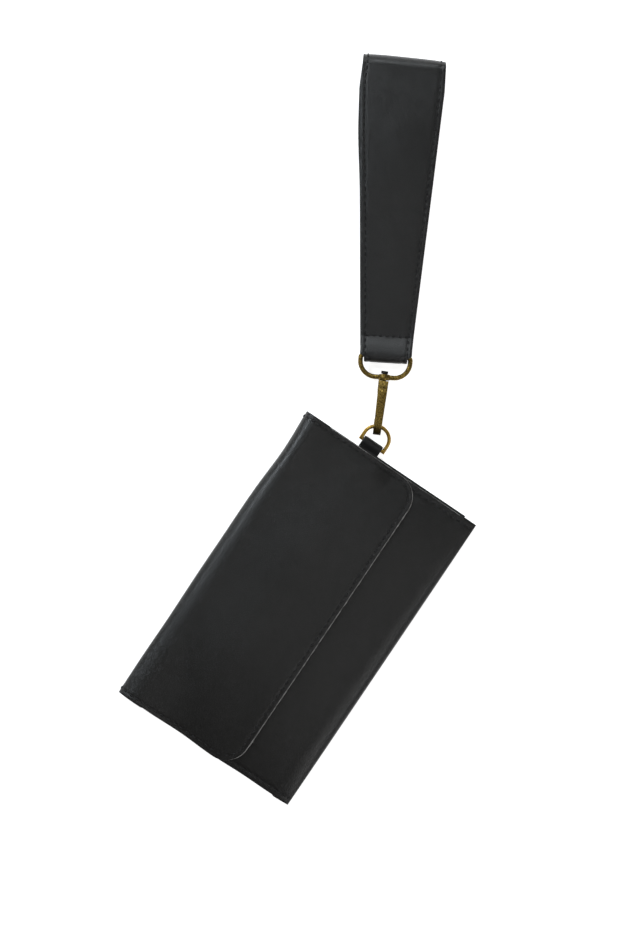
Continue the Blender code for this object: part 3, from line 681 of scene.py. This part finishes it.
def eased_copy(node, name, width, material, angle=30):
    """Copy of a part with its hard edges eased, as a tumbled casting has them."""
    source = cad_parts[node].data
    shaped = bmesh.new()
    shaped.from_mesh(source)
    bmesh.ops.remove_doubles(shaped, verts=shaped.verts, dist=0.000002)
    bmesh.ops.dissolve_limit(shaped, angle_limit=math.radians(1.0), verts=shaped.verts, edges=shaped.edges)
    mesh = bpy.data.meshes.new(name)
    shaped.to_mesh(mesh)
    shaped.free()
    piece = add_piece(name, mesh)
    bevel = piece.modifiers.new("eased", "BEVEL")
    bevel.width = width
    bevel.segments = 3
    bevel.limit_method = "ANGLE"
    bevel.angle_limit = math.radians(angle)
    bevel.use_clamp_overlap = True
    eased = bpy.data.meshes.new_from_object(piece.evaluated_get(bpy.context.evaluated_depsgraph_get()))
    piece.modifiers.clear()
    piece.data = eased
    eased.name = name
    eased.materials.clear()
    eased.materials.append(material)
    shade_smooth(eased, 35)
    return piece


BRASS_BRIGHT = (0.345, 0.235, 0.060)
# The dark brass colour below is the tarnish, and also the colour of the painted shade on the hook's nose.
BRASS_TARNISH_AND_SHADE = (0.050, 0.032, 0.009)
HOOK_ANGLE = math.radians(26.5)
hook_along = Vector((math.cos(HOOK_ANGLE), math.sin(HOOK_ANGLE), 0))
hook_end = min(v.co.dot(hook_along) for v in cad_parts["hook_body"].data.vertices)
antique_brass = metal_material("antique brass", BRASS_BRIGHT, BRASS_TARNISH_AND_SHADE, 0.38, 0.56, 1150, 0.00007)
# The hook's nose turns down out of the light past the D-ring, so it gets painted shade: its brass is darker
# within 3.4 mm of the end.
hook_brass = metal_material("antique brass of the hook", BRASS_BRIGHT, BRASS_TARNISH_AND_SHADE, 0.38, 0.56, 1150, 0.00007,
                            (hook_along, hook_end + 0.0034, hook_end + 0.0042))
black_rivet = metal_material("blackened rivet", (0.06, 0.055, 0.05), (0.03, 0.028, 0.026),
                             0.35, 0.5, 700, 0.00003)
for node, name, width, material, body, slot in (
        ("hook_body", "cast_hook", 0.00042, hook_brass, "hook", "antique_brass"),
        ("gate", "hook_gate", 0.00025, antique_brass, "gate", "antique_brass"),
        ("swivel_post", "swivel_rivet", 0.00030, black_rivet, "hook", "dark_rivet"),
        ("gate_pin", "cross_pin", 0.00015, antique_brass, "hook", "antique_brass")):
    piece = eased_copy(node, name, width, material)
    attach(piece, body)
    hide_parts(node)

# ---- Swivel eye -----------------------------------------------------------------
# The same cast brass: a wide D of round wire with a bored collar that turns on the
# rivet. Its straight bar carries the wrist strap.
EYE_ANGLE = math.radians(29.5)
COLLAR_MIDDLE = Vector((0.134877, 0.032184, 0.0061))
EYE_WIRE = 0.00135
EYE_HALF = 0.0140
EYE_DEPTH = 0.0120
EYE_BEND = 0.0088
EYE_CORNER = 0.0018
COLLAR_RADIUS = 0.00325
COLLAR_HOLE = 0.0016
COLLAR_HALF = 0.0017

eye_along = Vector((math.cos(EYE_ANGLE), math.sin(EYE_ANGLE), 0))
eye_across = Vector((-math.sin(EYE_ANGLE), math.cos(EYE_ANGLE), 0))


def round_the(centre_a, centre_b, radius, start, end, steps):
    """Points of an arc between two angles in degrees."""
    return [(centre_a + radius * math.cos(math.radians(a)), centre_b + radius * math.sin(math.radians(a)))
            for a in np.linspace(start, end, steps)]


eye_flat = [(EYE_DEPTH, -0.006), (EYE_DEPTH, 0.006)]
eye_flat += round_the(EYE_DEPTH - EYE_CORNER, EYE_HALF - EYE_CORNER, EYE_CORNER, 0, 90, 10)
eye_flat += round_the(EYE_BEND, EYE_HALF - EYE_BEND, EYE_BEND, 90, 180, 26)
eye_flat += [(0.0, 0.0)]
eye_flat += round_the(EYE_BEND, -EYE_HALF + EYE_BEND, EYE_BEND, 180, 270, 26)
eye_flat += round_the(EYE_DEPTH - EYE_CORNER, -EYE_HALF + EYE_CORNER, EYE_CORNER, 270, 360, 10)
eye_path = [COLLAR_MIDDLE + a * eye_along + b * eye_across for a, b in eye_flat]
# The loop of wire passes through the middle of the collar.
eye_wire = bent_wire("eye_wire", eye_path, EYE_WIRE, Vector((0, 0, 1)), antique_brass)


def turned_part(name, outline, origin, axis, material, steps=40):
    """Solid of revolution; the outline runs as (along the axis, radius) points."""
    side = axis.cross(Vector((0, 0, 1))).normalized()
    up = side.cross(axis)
    points = []
    for a in np.linspace(0, 2 * math.pi, steps, endpoint=False):
        points += [origin + along * axis + radius * (math.cos(a) * side + math.sin(a) * up)
                   for along, radius in outline]
    return solid_piece(name, points, tube_faces(steps, len(outline)), material)


soft = 0.0005
collar_outline = [(-COLLAR_HALF, COLLAR_HOLE), (-COLLAR_HALF, COLLAR_RADIUS - soft),
                  (-COLLAR_HALF + 0.3 * soft, COLLAR_RADIUS - 0.3 * soft),
                  (-COLLAR_HALF + soft, COLLAR_RADIUS), (COLLAR_HALF - soft, COLLAR_RADIUS),
                  (COLLAR_HALF - 0.3 * soft, COLLAR_RADIUS - 0.3 * soft),
                  (COLLAR_HALF, COLLAR_RADIUS - soft), (COLLAR_HALF, COLLAR_HOLE)]
eye_collar = turned_part("eye_collar", collar_outline, COLLAR_MIDDLE, eye_along, antique_brass)
for piece in (eye_wire, eye_collar):
    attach(piece, "swivel_eye")
    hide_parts("swivel_eye")

# ---- Wrist strap ----------------------------------------------------------------
# Two plies of leather, sewn together along both edges and closed to a loop that
# widens towards the hand. A row of stitches across both sides holds it on the bar.
EYE_BAR = Vector((0.145321, 0.038093, 0.0))
STRAP_ANGLE = math.radians(30.5)
STRAP_LEATHER = 0.0012
STRAP_LINING = 0.0009
STRAP_REACH = 0.16785
STRAP_FAR = 0.0060
STRAP_SEAM = 0.00275
CROSS_SEAM = 0.0109
BAR_HEIGHT = 0.0061
BAR_WRAP = 0.00395
BAR_STEPS = 30              # points of the turn round the bar
BAR_HALF = 0.0122           # half widths at the bar and just past it, and what is gained later
NEAR_HALF = 0.0146
GAINED_HALF = 0.0092

strap_along = np.array([math.cos(STRAP_ANGLE), math.sin(STRAP_ANGLE)])
strap_side = np.array([-math.sin(STRAP_ANGLE), math.cos(STRAP_ANGLE)])


def strap_half(s, on_top=0.0):
    """Half width; on top the strap keeps its width until it turns down round the bar."""
    far = NEAR_HALF + GAINED_HALF * np.clip((s - 0.004) / 0.146, 0.0, 1.0)
    under = BAR_HALF + (far - BAR_HALF) * smooth(0.0005, 0.0055, s)
    over = BAR_HALF + (far - BAR_HALF) * smooth(-0.0020, 0.0006, s)
    return under + (over - under) * on_top


def curve_through(knots, x):
    """Smooth height through (x, height) knots, level at both ends."""
    slopes = [0.0]
    slopes += [(h2 - h0) / (x2 - x0) for (x0, h0), (x2, h2) in zip(knots, knots[2:])]
    slopes.append(0.0)
    span = 0
    while span < len(knots) - 2 and x > knots[span + 1][0]:
        span += 1
    (x0, h0), (x1, h1) = knots[span], knots[span + 1]
    t = (x - x0) / (x1 - x0)
    return ((2 * t ** 3 - 3 * t ** 2 + 1) * h0 + (t ** 3 - 2 * t ** 2 + t) * (x1 - x0) * slopes[span]
            + (-2 * t ** 3 + 3 * t ** 2) * h1 + (t ** 3 - t ** 2) * (x1 - x0) * slopes[span + 1])


strap_far = STRAP_REACH - STRAP_FAR
strap_top = [(0.0, BAR_HEIGHT + BAR_WRAP), (0.005, 0.0089), (CROSS_SEAM, 0.0069), (0.018, 0.00675),
             (0.028, 0.0074), (0.045, 0.0088), (0.070, 0.0109), (0.095, 0.0124), (0.120, 0.0130),
             (0.145, 0.0127), (strap_far, 2 * STRAP_FAR)]
strap_low = [(0.0, BAR_HEIGHT - BAR_WRAP), (CROSS_SEAM, 0.0020), (0.020, 0.00145), (0.032, 0.0006),
             (0.048, 0.0), (strap_far, 0.0)]
strap_places = np.concatenate([np.arange(0.0008, 0.0205, 0.0008),
                               np.arange(0.0215, strap_far - 0.001, 0.0016)])
strap_line = round_the(0.0, BAR_HEIGHT, BAR_WRAP, 90, 270, BAR_STEPS)
strap_line += [(s, curve_through(strap_low, s)) for s in strap_places]
strap_line += round_the(strap_far, STRAP_FAR, STRAP_FAR, -90, 90, 34)
strap_line += [(s, curve_through(strap_top, s)) for s in strap_places[::-1]]
strap_line = np.array(strap_line)
strap_run = np.roll(strap_line, -1, axis=0) - np.roll(strap_line, 1, axis=0)
strap_run /= np.linalg.norm(strap_run, axis=1, keepdims=True)
strap_out = np.stack([strap_run[:, 1], -strap_run[:, 0]], axis=1)
strap_on_top = (strap_out[:, 1] > 0)[:, None]
strap_over = smooth(-0.2, 0.5, strap_out[:, 1])[:, None]


def strap_face(depth, across, sewn, inset=0.0):
    """Points of the strap at a depth under its grain side; across runs -1 to 1."""
    s = strap_line[:, 0:1] + 0 * across[None, :]
    half = strap_half(strap_line[:, 0:1], strap_over) - inset
    v = across[None, :] * half
    bulge = 0.0009 * np.exp(-((s - 0.125) / 0.022) ** 2) - 0.0009 * smooth(0.148, 0.168, s)
    v = v + bulge * smooth(0.0, 1.0, across)[None, :]
    edge = half - np.abs(v)
    lift = 0.00055 * (1 - across[None, :] ** 2) * smooth(0.008, 0.030, s) * strap_on_top
    lift = lift + 0.00016 * soft_waves(s, v, 0.035, 51) * strap_on_top
    sink = sewn * (groove(edge, STRAP_SEAM) + edge_roll(edge) * (depth == 0.0)
                   + 0.9 * groove(s, CROSS_SEAM) * (strap_line[:, 0:1] > 0.004))
    out = lift - sink - depth
    s = s + strap_out[:, 0:1] * out + 0.040 * v * smooth(0.120, 0.168, s)
    h = strap_line[:, 1:2] + strap_out[:, 1:2] * out
    x = EYE_BAR.x + s * strap_along[0] + v * strap_side[0]
    y = EYE_BAR.y + s * strap_along[1] + v * strap_side[1]
    return np.stack([x, y, np.broadcast_to(h, x.shape)], axis=-1)


strap_across = places(-1.0, 1.0, 0.30, 0.022, 0.07)
strap_edge = cut_edge_material("wrist strap edge", (0.085, 0.083, 0.080), (0.03, 0.03, 0.03))
strap_skin = skin_material("wrist strap leather", (0.0110, 0.0109, 0.0108), (0.0075, 0.0074, 0.0073),
                           0.28, 0.36, 2000, 0.000028, 0.52)
strap_back_skin = skin_material("strap lining leather", (0.014, 0.0138, 0.0135), (0.009, 0.0089, 0.0088),
                                0.45, 0.56, 2300, 0.00003, 0.38)
strap_leather = make_ply("strap_leather", strap_face(0.0, strap_across, 1.0, 0.00012),
                         strap_face(STRAP_LEATHER, strap_across, 1.0),
                         [strap_skin, strap_edge, strap_skin], wrap=True)
strap_backing = make_ply("strap_backing", strap_face(STRAP_LEATHER + 0.0001, strap_across, 1.0),
                         strap_face(STRAP_LEATHER + 0.0002 + STRAP_LINING, strap_across, 1.0, 0.0001),
                         [strap_back_skin, strap_edge, strap_back_skin], wrap=True)
for piece, node in ((strap_leather, "strap_outer"), (strap_backing, "strap_lining")):
    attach(piece, "strap")
    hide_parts(node)

# ---- Stitching ------------------------------------------------------------------
# Heavy black waxed thread, about four millimetres to a stitch: up the side seams of
# the back, over the top fold and round the flap; down the front's side seams and
# round the bottom fold; along both edges of the strap, and across it at the bar.
PITCH = 0.0042
STRAP_PITCH = 0.0040
CROSS_PITCH = 0.0032
CROSS_INSET = 12            # grid places from the strap's edge to the ends of a row across
THREAD = 0.00038


def stitch_shape(name, length):
    """One stitch that comes up at one hole and goes down at the next."""
    rings = 7
    sides = 6
    points = []
    for i in range(rings):
        t = -1.0 + 2.0 * i / (rings - 1)
        thick = THREAD * (1.0 - 0.55 * abs(t) ** 5)
        rise = 0.00024 - 0.00062 * abs(t) ** 4
        for k in range(sides):
            a = 2 * math.pi * k / sides
            points.append((t * length / 2, 1.25 * thick * math.cos(a), rise + 0.8 * thick * math.sin(a)))
    faces = tube_faces(rings, sides, closed=False)
    faces += [tuple(range(sides)), tuple(range((rings - 1) * sides, rings * sides))]
    return solid_piece(name, points, faces, black_thread, 60)


def thread_material():
    """Waxed thread, its strands twisted together."""
    material, tree, place = new_material("black waxed thread", ply=False)
    twist = add(tree, "ShaderNodeTexWave", {"Vector": place, "Scale": 900.0, "Distortion": 1.5},
                bands_direction="DIAGONAL").outputs["Fac"]
    colour = mixed(tree, twist, (0.0055, 0.0055, 0.0055), (0.0140, 0.0137, 0.0133))
    dress(tree, colour, twist, 1.0, 0.00006, {"Roughness": 0.55, "Specular IOR Level": 0.35})
    return material


def sewing_tree():
    """Geometry Nodes tree that sews one stitch after another along a row."""
    tree, given, out = new_group("sewn row", "GeometryNodeTree", (
        ("Row", "INPUT", "Geometry"), ("Pitch", "INPUT", "Float"), ("Stitch", "INPUT", "Object"),
        ("Thread", "INPUT", "Material"), ("Stitches", "OUTPUT", "Geometry")))
    line = add(tree, "GeometryNodeMeshToCurve", {"Mesh": given["Row"]}).outputs["Curve"]
    holes = add(tree, "GeometryNodeResampleCurve", {"Curve": line, "Length": given["Pitch"]},
                mode="LENGTH").outputs["Curve"]
    lift = add(tree, "GeometryNodeInputNamedAttribute", {"Name": "lift"},
               data_type="FLOAT_VECTOR").outputs["Attribute"]
    stand = add(tree, "FunctionNodeAlignRotationToVector", {"Vector": lift}, axis="Z").outputs["Rotation"]
    way = add(tree, "GeometryNodeInputTangent", {}).outputs["Tangent"]
    lie = add(tree, "FunctionNodeAlignRotationToVector", {"Rotation": stand, "Vector": way},
              axis="X", pivot_axis="Z").outputs["Rotation"]
    uneven = add(tree, "FunctionNodeRandomValue",
                 {"Min": (0.0, 0.0, -0.07), "Max": (0.0, 0.0, 0.07), "Seed": 7},
                 data_type="FLOAT_VECTOR").outputs["Value"]
    tug = add(tree, "FunctionNodeRotateRotation", {"Rotation": lie, "Rotate By": uneven},
              rotation_space="LOCAL").outputs["Rotation"]
    one = add(tree, "GeometryNodeObjectInfo", {"Object": given["Stitch"]}).outputs["Geometry"]
    sewn = add(tree, "GeometryNodeInstanceOnPoints",
               {"Points": holes, "Instance": one, "Rotation": tug}).outputs["Instances"]
    solid = add(tree, "GeometryNodeRealizeInstances", {"Geometry": sewn}).outputs["Geometry"]
    dyed = add(tree, "GeometryNodeSetMaterial", {"Geometry": solid, "Material": given["Thread"]})
    fill(tree, out, {"Stitches": dyed.outputs["Geometry"]})
    return tree


black_thread = thread_material()
sewing = sewing_tree()
body_stitch = stitch_shape("body_stitch", 0.0029)
strap_stitch = stitch_shape("strap_stitch", 0.0027)
cross_stitch = stitch_shape("cross_stitch", 0.0023)


def sew_rows(name, rows, pitch, stitch):
    """Sew every row of (points, outward directions) and return them as one mesh."""
    guide_mesh = bpy.data.meshes.new(name)
    points, edges, lifts = [], [], []
    for path, lift in rows:
        start = len(points)
        points += [tuple(p) for p in path]
        lifts += [tuple(v) for v in lift]
        edges += [(start + i, start + i + 1) for i in range(len(path) - 1)]
    guide_mesh.from_pydata(points, edges, [])
    attribute = guide_mesh.attributes.new("lift", "FLOAT_VECTOR", "POINT")
    attribute.data.foreach_set("vector", np.array(lifts, np.float32).ravel())
    guide = add_piece(name, guide_mesh)
    row = guide.modifiers.new("sewing", "NODES")
    row.node_group = sewing
    values = {"Pitch": pitch, "Stitch": stitch, "Thread": black_thread}
    for socket in sewing.interface.items_tree:
        if socket.item_type == "SOCKET" and socket.name in values:
            row[socket.identifier] = values[socket.name]
    sewn = bpy.data.meshes.new_from_object(guide.evaluated_get(bpy.context.evaluated_depsgraph_get()))
    guide.modifiers.clear()
    guide.data = sewn
    sewn.name = name
    sewn.polygons.foreach_set("use_smooth", np.ones(len(sewn.polygons), bool))
    return guide


def column_row(grid_of, x, outward):
    """Row of points that runs straight along a grid at x, with its outward directions."""
    strip = grid_of(np.array([x - 0.0004, x, x + 0.0004]))
    return strip[:, 1], outward * grid_normals(strip)[:, 1]


back_rows = [column_row(lambda x: turned(x, back_stations), side * (HALF_LENGTH - BACK_SEAM), -1.0)
             for side in (-1, 1)]
back_stitches = sew_rows("back_seam_stitches", back_rows, PITCH, body_stitch)
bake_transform(back_stitches)

inner_corner = FLAP_CORNER - FLAP_SEAM
around = [(-(HALF_LENGTH - FLAP_SEAM), y) for y in np.linspace(FLAP_TURN, FLAP_EDGE + FLAP_CORNER, 60)[1:]]
around += [(-(HALF_LENGTH - FLAP_CORNER) - inner_corner * math.cos(a),
            FLAP_EDGE + FLAP_CORNER - inner_corner * math.sin(a))
           for a in np.linspace(0, math.pi / 2, 24)[1:]]
around += [(x, FLAP_EDGE + FLAP_SEAM) for x in np.linspace(-(HALF_LENGTH - FLAP_CORNER), 0, 50)[1:]]
around += [(-x, y) for x, y in around[-2::-1]]
around = np.array(around)


def lying_row(path, height):
    """Row over a surface of height(x, y), with its outward directions."""
    x, y = path[:, 0], path[:, 1]
    step = 0.0004
    rise_x = (height(x + step, y) - height(x - step, y)) / (2 * step)
    rise_y = (height(x, y + step) - height(x, y - step)) / (2 * step)
    lift = np.stack([-rise_x, -rise_y, np.ones_like(x)], axis=-1)
    return np.stack([x, y, height(x, y)], axis=-1), lift / np.linalg.norm(lift, axis=1, keepdims=True)


def flap_row():
    """The flap's whole seam: up over the fold, round the free edge and back."""
    seam_x = HALF_LENGTH - FLAP_SEAM
    high = flap_stations[:fold_rows]
    first, last = [column_row(lambda x: turned(x, high), side * seam_x, -1.0) for side in (-1, 1)]
    parts = [first, lying_row(around, flap_height), (last[0][::-1], last[1][::-1])]
    return np.concatenate([p for p, n in parts]), np.concatenate([n for p, n in parts])


flap_stitches = sew_rows("flap_stitches", [flap_row()], PITCH, body_stitch)
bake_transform(flap_stitches)


def under_flap(x, y):
    """Height of the flap lining's lower face."""
    return flap_height(x, y) - LEATHER - GAP - FLAP_LINING


under_points, under_lift = lying_row(around, under_flap)
under_stitches = sew_rows("flap_backing_stitches", [(under_points, -under_lift)], PITCH, body_stitch)
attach(under_stitches, "flap")

OPEN_ROWS = 24              # sewn rows of the front, up to just under the flap's edge
seam_stations = front_stations[:bend_rows + OPEN_ROWS]
front_seam_rows = [column_row(lambda x: front_rows(x, seam_stations), side * (HALF_LENGTH - BACK_SEAM), 1.0)
                   for side in (-1, 1)]
front_stitches = sew_rows("front_seam_stitches", front_seam_rows, PITCH, body_stitch)
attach(front_stitches, "pouch")


def strap_edge_row(side):
    """Row along one edge of the strap, round the whole loop but the turn at the bar."""
    half = strap_half(strap_line[:, 0], strap_over[:, 0])
    grid = strap_face(0.0, strap_across, 1.0)
    normal = grid_normals(grid, wrap=True)
    flip = np.sign(normal[len(normal) // 2, 10] @ np.array([*strap_along, 0.0]))
    wanted = side * (1.0 - STRAP_SEAM / half)
    points = np.array([[np.interp(w, strap_across, grid[i, :, k]) for k in range(3)]
                       for i, w in enumerate(wanted)])
    lift = np.array([normal[i, np.argmin(np.abs(strap_across - w))] * flip for i, w in enumerate(wanted)])
    return points[BAR_STEPS:], lift[BAR_STEPS:]


def strap_cross_rows():
    """Rows across the strap beside the bar, on its top and its underside."""
    grid = strap_face(0.0, strap_across, 1.0)
    rows = []
    for sign in (1, -1):
        near = np.where(np.sign(strap_out[:, 1]) == sign, np.abs(strap_line[:, 0] - CROSS_SEAM), 1.0)
        i = int(np.argmin(near))
        inner = slice(CROSS_INSET, len(strap_across) - CROSS_INSET)
        rows.append((grid[i, inner], np.tile([0.0, 0.0, float(sign)], (len(grid[i, inner]), 1))))
    return rows


strap_rows = [strap_edge_row(-1), strap_edge_row(1)]
strap_stitches = sew_rows("strap_edge_stitches", strap_rows, STRAP_PITCH, strap_stitch)
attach(strap_stitches, "strap")
cross_stitches = sew_rows("strap_cross_stitches", strap_cross_rows(), CROSS_PITCH, cross_stitch)
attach(cross_stitches, "strap")
for pattern in (body_stitch, strap_stitch, cross_stitch):
    bpy.data.objects.remove(pattern)

# ---- Floor, light and camera ---------------------------------------------------
# A white table with four lamps: a small cool one beyond the top fold, a cool one past
# the strap, a wide one towards the bottom fold, and a weak one straight overhead.
TABLE = -0.0007
floor_mesh = bpy.data.meshes.new("floor")
corners = [(x, y, TABLE) for x, y in ((-6, -6), (6, -6), (6, 6), (-6, 6))]
floor_mesh.from_pydata(corners, [], [(0, 1, 2, 3)])
floor = add_piece("floor", floor_mesh)
table_top = bpy.data.materials.new("white table")
table_top.use_nodes = True
fill(table_top.node_tree, table_top.node_tree.nodes["Principled BSDF"],
     {"Base Color": (0.93, 0.93, 0.93, 1), "Roughness": 0.9,
      "Emission Color": (1, 1, 1, 1), "Emission Strength": 0.80})
floor_mesh.materials.append(table_top)


def lamp(name, place, aim, size, power, colour=(1, 1, 1)):
    """Round soft lamp at a place, turned to where it aims."""
    light = bpy.data.lights.new(name, "AREA")
    light.color = colour
    light.shape = "DISK"
    light.size = size
    light.energy = power
    piece = add_piece(name, light)
    piece.location = place
    piece.rotation_euler = (Vector(aim) - Vector(place)).to_track_quat("-Z", "Y").to_euler()


lamp("lamp_over_fold", (0.12, 0.60, 0.56), (0.05, 0.04, 0), 0.18, 2.3, (0.86, 0.94, 1.0))
lamp("lamp_past_strap", (1.15, 0.70, 0.95), (0.20, 0.08, 0), 0.50, 6, (0.92, 0.97, 1.0))
lamp("lamp_near_front", (-0.20, -0.95, 1.15), (0.05, 0.02, 0), 0.8, 4)
lamp("lamp_overhead", (0.05, 0.01, 1.60), (0.05, 0.01, 0), 0.35, 0.9)
world = bpy.data.worlds.new("studio")
world.use_nodes = True
fill(world.node_tree, world.node_tree.nodes["Background"], {"Color": (1, 1, 1, 1), "Strength": 0.15})
bpy.context.scene.world = world
bpy.context.scene.view_settings.view_transform = "Standard"

camera_data = bpy.data.cameras.new("camera")
camera_data.lens = 100
camera_data.sensor_width = 36
camera_data.clip_end = 50
camera = add_piece("camera", camera_data)
camera.location = (0.071, 0.0393, 1.456)
camera.rotation_euler = (0, 0, math.radians(-56))
bpy.context.scene.camera = camera
